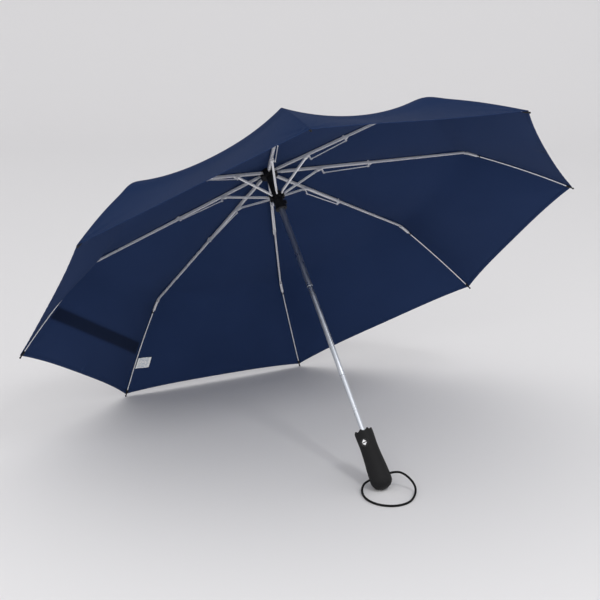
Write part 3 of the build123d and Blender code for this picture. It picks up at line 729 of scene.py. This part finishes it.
def dress_nodes():
    """The finish of every CAD node that shows as itself."""
    strip = metal("rib_strip", (0.97, 0.97, 0.99), 0.34, (220, 220, 220), 0.90, 0.42)
    wire = metal("rib_wire", (0.97, 0.97, 0.99), 0.30, (300, 300, 300), 0.90, 0.42)
    chrome = metal("tube_chrome", (0.60, 0.63, 0.68), 0.26, (1200, 900, 6), 0.85)
    spring = metal("spring_wire", (0.50, 0.51, 0.52), 0.32, (400, 400, 400), 0.8)
    black = plastic("hub_black", (0.007, 0.007, 0.008), 0.42, 700.0, 0.00006, shine=0.22)
    soft = plastic("soft_grip", (0.0085, 0.0085, 0.0092), 0.62, 2600.0, 0.00005, shine=0.16)
    shiny = plastic("button_black", (0.006, 0.006, 0.007), 0.30, 500.0, 0.00003, coat=0.1, shine=0.3)
    core = plastic("core_black", (0.020, 0.020, 0.021), 0.5, 900.0, 0.00006)
    kinds = {
        "top_rib": strip,
        "stretcher": strip,
        "link": strip,
        "middle_rib": strip,
        "outer_rib": wire,
    }
    for kind, material in kinds.items():
        dress([f"{kind}_{k + 1}" for k in range(RIBS)], material)
    dress(["upper_tube", "middle_tube", "lower_tube"], chrome)
    dress(["notch_wire", "release_latch"], strip)
    dress(["drive_spring", "button_spring"], spring)
    dress(["top_cap", "notch", "hub_sleeve", "runner", "runner_clip"], black)
    for k in range(RIBS):
        black_tip(nodes[f"outer_rib_{k + 1}"], black)
    dress(["handle_grip"], soft)
    dress(["push_button", "button_bezel"], shiny)
    dress(["handle_core"], core)


def squash_springs():
    """Gives the long drive spring and the small one under the button each their own mesh data."""
    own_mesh(nodes["drive_spring"])
    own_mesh(nodes["button_spring"])


# ---- small details --------------------------------------------------------------------------------
def thread_tie(k):
    """The black thread that ties the cloth's seam to the outer rib, wound round the bracket's end."""
    curve = bpy.data.curves.new(f"seam_thread_{k + 1}", "CURVE")
    curve.dimensions = "3D"
    curve.bevel_depth = 0.00028
    spline = curve.splines.new("POLY")
    turns, points = 5, 70
    start, wound, centre_lift = 0.0250, 0.0022, 0.0020
    half_wide, half_high = 0.00145, 0.0021
    spline.points.add(points - 1)
    a = azimuth(k)
    for i in range(points):
        share = i / (points - 1)
        angle = 2 * pi * turns * share
        centre = moved(HINGE_U, OUTER_ANGLE, start + wound * share, centre_lift)
        side = half_wide * cos(angle)
        lift = half_high * sin(angle)
        r, z = centre + lift * np.array([-sin(OUTER_ANGLE), cos(OUTER_ANGLE)])
        own = [r * cos(a) - side * sin(a), r * sin(a) + side * cos(a), z]
        spline.points[i].co = (*own_to_row(own), 1)
    curve.materials.append(thread_black)
    tie = bpy.data.objects.new(curve.name, curve)
    bpy.context.scene.collection.objects.link(tie)
    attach(tie, f"outer_rib_{k + 1}")


def button_marks():
    """Two raised triangles on the button, pointing up and down the shaft."""
    out = np.array([cos(BUTTON_AZIMUTH), sin(BUTTON_AZIMUTH), 0.0])
    side = np.array([-sin(BUTTON_AZIMUTH), cos(BUTTON_AZIMUTH), 0.0])
    up = np.array([0.0, 0.0, 1.0])
    corners = ((-0.0040, 0.0008), (0.0040, 0.0008), (0.0, 0.0050))
    faces = [(0, 1, 2), (3, 5, 4), (0, 3, 4, 1), (1, 4, 5, 2), (2, 5, 3, 0)]
    for name, direction in (("mark_open", 1), ("mark_close", -1)):
        points = []
        for depth in (-0.0010, -0.00018):
            for x, y in corners:
                dish = (x * x + y * y) / (2 * BUTTON_DISH_R)
                along = BUTTON_Z + y * direction
                points.append(out * (BUTTON_FACE + dish + depth) + side * x + up * along)
        mesh = bpy.data.meshes.new(name)
        mesh.from_pydata(own_to_row(points).tolist(), [], faces)
        mesh.materials.append(mark_silver)
        mark = bpy.data.objects.new(name, mesh)
        bpy.context.scene.collection.objects.link(mark)
        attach(mark, "push_button")


# ---- the studio ------------------------------------------------------------------------------------
def make_studio():
    """A seamless sweep, a soft key from high in front, a fill from the left and a pale sky."""
    width, depth, height, round_r = 8.0, 4.5, 5.0, 1.6
    profile = [(-6.0, 0.0), (depth - round_r, 0.0)]
    for i in range(1, 17):
        angle = pi / 2 * i / 16
        profile.append((depth - round_r + round_r * sin(angle), round_r - round_r * cos(angle)))
    profile.append((depth, height))
    points = [(x, y, z) for x in (-width, width) for y, z in profile]
    count = len(profile)
    faces = [(i, i + count, i + count + 1, i + 1) for i in range(count - 1)]
    mesh = bpy.data.meshes.new("sweep")
    mesh.from_pydata(points, [], faces)
    mesh.polygons.foreach_set("use_smooth", [True] * len(mesh.polygons))
    paper = new_material("paper", (0.76, 0.755, 0.765), 0.9)
    mesh.materials.append(paper)
    sweep = bpy.data.objects.new("sweep", mesh)
    sweep.rotation_euler.z = radians(-30)
    bpy.context.scene.collection.objects.link(sweep)
    lights = (
        ("key", (0.1, -2.35, 2.85), 0.7, 24.0),
        ("fill", (-2.0, -2.3, 2.0), 1.8, 20.0),
    )
    for name, place, size, power in lights:
        light = bpy.data.lights.new(name, "AREA")
        light.shape = "DISK"
        light.size = size
        light.energy = power
        lamp = bpy.data.objects.new(name, light)
        lamp.location = place
        lamp.rotation_euler = (Vector((0, 0, 0.25)) - Vector(place)).to_track_quat("-Z", "Y").to_euler()
        bpy.context.scene.collection.objects.link(lamp)
    world = bpy.data.worlds.new("studio")
    world.use_nodes = True
    sky = world.node_tree.nodes["Background"]
    sky.inputs["Color"].default_value = (1.0, 0.995, 1.0, 1)
    sky.inputs["Strength"].default_value = 0.87
    bpy.context.scene.world = world
    bpy.context.scene.view_settings.view_transform = "Standard"


make_camera()
thread_black = new_material("black_thread", (0.008, 0.008, 0.009), 0.7)
mark_silver = new_material("mark_silver", (0.88, 0.88, 0.89), 0.35, 0.4)
make_cord()
make_canopy()
make_crown()
make_strap()
make_label()
dress_nodes()
squash_springs()
for rib in range(RIBS):
    thread_tie(rib)
button_marks()
make_studio()
